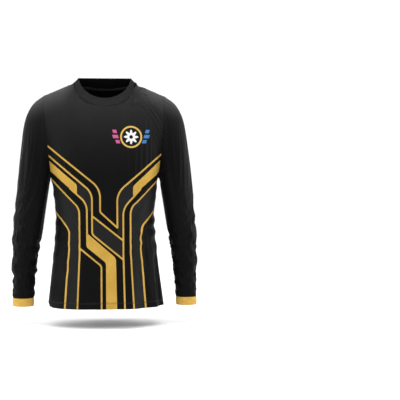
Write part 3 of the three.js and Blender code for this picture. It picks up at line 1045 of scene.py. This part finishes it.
sleeve_seams = {}
for side, hand in HANDS.items():
    edge, inward = (0.0, 1) if hand == 1 else (1.0, -1)
    columns = np.sort(edge + inward * np.linspace(0, 0.6 * COLUMN, 4))
    rows = np.linspace(0.004, LOWER_END - 0.004, 180)[:, None]
    seam = strip(f"seam_side_{side}", f"side_seam_{side}", BACK_S.at(rows, columns, UNDER), 5)
    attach(seam, "torso")

    columns = np.sort(edge + inward * np.linspace(0.02, SHOULDER_END - 0.01, 60))
    rows = np.stack([row_at(BACK_S, columns, d, True) for d in (5.0, 3.3, 1.7, 0.2)])
    seam = strip(f"seam_shoulder_{side}", f"shoulder_seam_{side}", BACK_S.at(rows, columns, UNDER), 5)
    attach(seam, "torso")

    # the armhole's loop: up the back panel's edge, over the shoulder and down the front's
    rows = np.linspace(LOWER_END + 0.004, 1.0, 90)[:, None]
    columns = inward * np.linspace(0, 0.5 * COLUMN, 4)
    back_part = BACK_S.at(rows, edge + columns, UNDER)
    front_part = FRONT_S.at(rows, 1 - edge - columns, UNDER)
    loop = np.concatenate([back_part, front_part[-2::-1]])
    seam = strip(f"seam_armhole_{side}", f"armhole_seam_{side}", loop[:, ::hand], 5)
    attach(seam, "torso")

    sleeve = surfaces[side]
    columns = np.linspace(0.0, 0.014, 4) if hand == 1 else np.linspace(0.986, 1.0, 4)
    rows = np.linspace(0.01, 0.985, 220)[:, None]
    seam = strip(f"seam_sleeve_{side}", f"sleeve_seam_{side}", sleeve.at(rows, columns, UNDER), 4)
    sleeve_seams[side] = seam
    rows = np.linspace(0.002, 0.010, 4)[:, None]
    ring = sleeve.at(rows, np.linspace(0, 1, 97), UNDER)
    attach(strip(f"seam_cuff_{side}", f"cuff_seam_{side}", ring, 5, wrap=True), f"arm_{side}")

# ---- Neck seam, neck tape and stitching

neck_columns = np.linspace(SHOULDER_END, 1 - SHOULDER_END, 161)
face = np.stack([loop_at(neck_columns, d, UNDER, True) for d in (5.5, 3.7, 1.9, 0.1)])
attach(strip("seam_neck", "neck_seam", face, 5, wrap=True), "torso")

tape_columns = np.linspace(SHOULDER_END + 0.2 * COLUMN, 1 - SHOULDER_END - 0.2 * COLUMN, 121)
rows = np.stack([row_at(BACK_S, tape_columns, d, True) for d in (11.5, 9, 6, 3, 0.6)])
tape = strip("back_neck_binding", "back_neck_tape", BACK_S.at(rows, tape_columns, UNDER - 1.6), 11)
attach(tape, "torso")

THREAD_SIDES = 6
STITCH_RINGS = [(0.0, 0.35), (0.18, 0.9), (0.5, 1.1), (0.82, 0.9), (1.0, 0.35)]     # along it, thickness
STITCH_LIFT = 0.15


def stitches(name, paths, pitch, length, radius):
    """A row of raised thread stitches along each path of surface points."""
    starts, ends = [], []
    for path in paths:
        run = np.concatenate([[0], np.cumsum(np.linalg.norm(np.diff(path, axis=0), axis=-1))])
        count = int(run[-1] / pitch)
        for share, places in ((0.0, starts), (length / pitch, ends)):
            at = (np.arange(count) + share) * run[-1] / count
            places.append(np.stack([np.interp(at, run, path[:, k]) for k in range(3)], -1))
    a, b = np.concatenate(starts), np.concatenate(ends)
    forward = unit(b - a)
    sideways = unit(np.cross(forward, unit(a * [1, 1, 0])))
    out = np.cross(sideways, forward)
    rings = []
    for share, size in STITCH_RINGS:
        middle = mix(a, b, share) + out * (radius * (0.9 * math.sin(math.pi * share) - 0.35))
        for k in range(THREAD_SIDES):
            angle = 2 * math.pi * k / THREAD_SIDES
            spoke = sideways * math.cos(angle) + out * 0.8 * math.sin(angle)
            rings.append(middle + spoke * radius * size)
    points = np.stack(rings, 1)
    count, size = points.shape[:2]
    base = np.arange(count)[:, None] * size
    faces = []
    for corner in range(size - THREAD_SIDES):
        turn = 1 - THREAD_SIDES if corner % THREAD_SIDES == THREAD_SIDES - 1 else 1
        beside = corner + turn
        faces.append(base + np.array([corner, beside, beside + THREAD_SIDES, corner + THREAD_SIDES]))
    faces = np.concatenate(faces).tolist()
    faces += (base + np.arange(THREAD_SIDES)[::-1]).tolist()
    faces += (base + np.arange(size - THREAD_SIDES, size)).tolist()
    obj = new_mesh(name, points.reshape(-1, 3) * MM, faces)
    obj.data.materials.append(THREAD)
    return obj


hem_columns = np.linspace(0, 1, 241)
hem_rows = [loop_at(hem_columns, d, STITCH_LIFT, False) for d in (HEM_TURN - 3, HEM_TURN)]
hem_stitching = stitches("hem_stitching", hem_rows, 3.3, 2.7, 0.42)
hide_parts("hem_stitch")
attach(hem_stitching, "torso")
neck_rows = [loop_at(neck_columns, d, STITCH_LIFT, True) for d in (3.2, 6.4)]
neck_stitching = stitches("neck_stitching", neck_rows, 3.0, 2.4, 0.38)
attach(neck_stitching, "torso")

# ---- The sleeves and their underarm seams get their placement baked into their points, in metres

for side, hand in HANDS.items():
    for obj in (pieces[side], sleeve_seams[side]):
        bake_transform(obj)

# ---- What each piece is made of, as a table by name prefix; the loop below only tests the names and gives nothing


SLOTS = {
    "front_body": "fabric", "back_body": "fabric", "knit_sleeve": "fabric", "seam": "fabric",
    "rib_collar": "rib", "rib_cuff": "cuff_rib", "back_neck_binding": "tape",
    "hem_stitching": "thread", "neck_stitching": "thread",
}
for obj in list(bpy.context.scene.objects):
    for prefix, slot in SLOTS.items():
        obj.name.startswith(prefix) and "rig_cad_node" not in obj

# ---- Studio, in metres

FLOOR_Z = -0.76
CENTRE = (0, 0, -0.35)


def studio_floor():
    points = [(x, y, FLOOR_Z) for x, y in ((-12, -9), (12, -9), (12, 15), (-12, 15))]
    floor = new_mesh("studio_floor", points, [(0, 1, 2, 3)], False)
    paper = Material("studio_paper")
    colour = paper.blend(paper.noise(paper.place(), 60.0, 3), (0.955, 0.955, 0.955), (0.965, 0.965, 0.965))
    paper.give(paper.shader, {"Base Color": colour, "Roughness": 0.9, "Specular IOR Level": 0.1})
    floor.data.materials.append(paper.data)
    return floor


def add_object(name, data, place, aim):
    """A light or a camera at place, facing aim."""
    obj = bpy.data.objects.new(name, data)
    obj.location = place
    obj.rotation_euler = (Vector(aim) - Vector(place)).to_track_quat("-Z", "Y").to_euler()
    bpy.context.scene.collection.objects.link(obj)
    return obj


def soft_light(name, place, aim, size, power):
    data = bpy.data.lights.new(name, "AREA")
    data.shape = "RECTANGLE"
    data.size, data.size_y = size
    data.energy = power
    return add_object(name, data, place, aim)


studio_floor()
soft_light("overhead_light", (0, -0.9, 2.0), (0, 0, -0.2), (2.8, 2.6), 52)
soft_light("key_light", (-1.6, -2.6, 0.9), CENTRE, (1.6, 1.6), 7)
soft_light("left_edge_light", (-2.2, 0.3, 0.0), CENTRE, (0.5, 1.8), 26)
soft_light("right_edge_light", (2.2, 0.3, 0.0), CENTRE, (0.5, 1.8), 26)

world = bpy.data.worlds.new("studio_world")
world.use_nodes = True
world.node_tree.nodes["Background"].inputs["Color"].default_value = (1, 1, 1, 1)
world.node_tree.nodes["Background"].inputs["Strength"].default_value = 1.06
bpy.context.scene.world = world
bpy.context.scene.view_settings.view_transform = "Standard"

camera_data = bpy.data.cameras.new("camera")
camera_data.sensor_width = 36
camera_data.lens = 99.7
bpy.context.scene.camera = add_object("camera", camera_data, (0, -3.5, -0.25), (0.300, 0, -0.369))
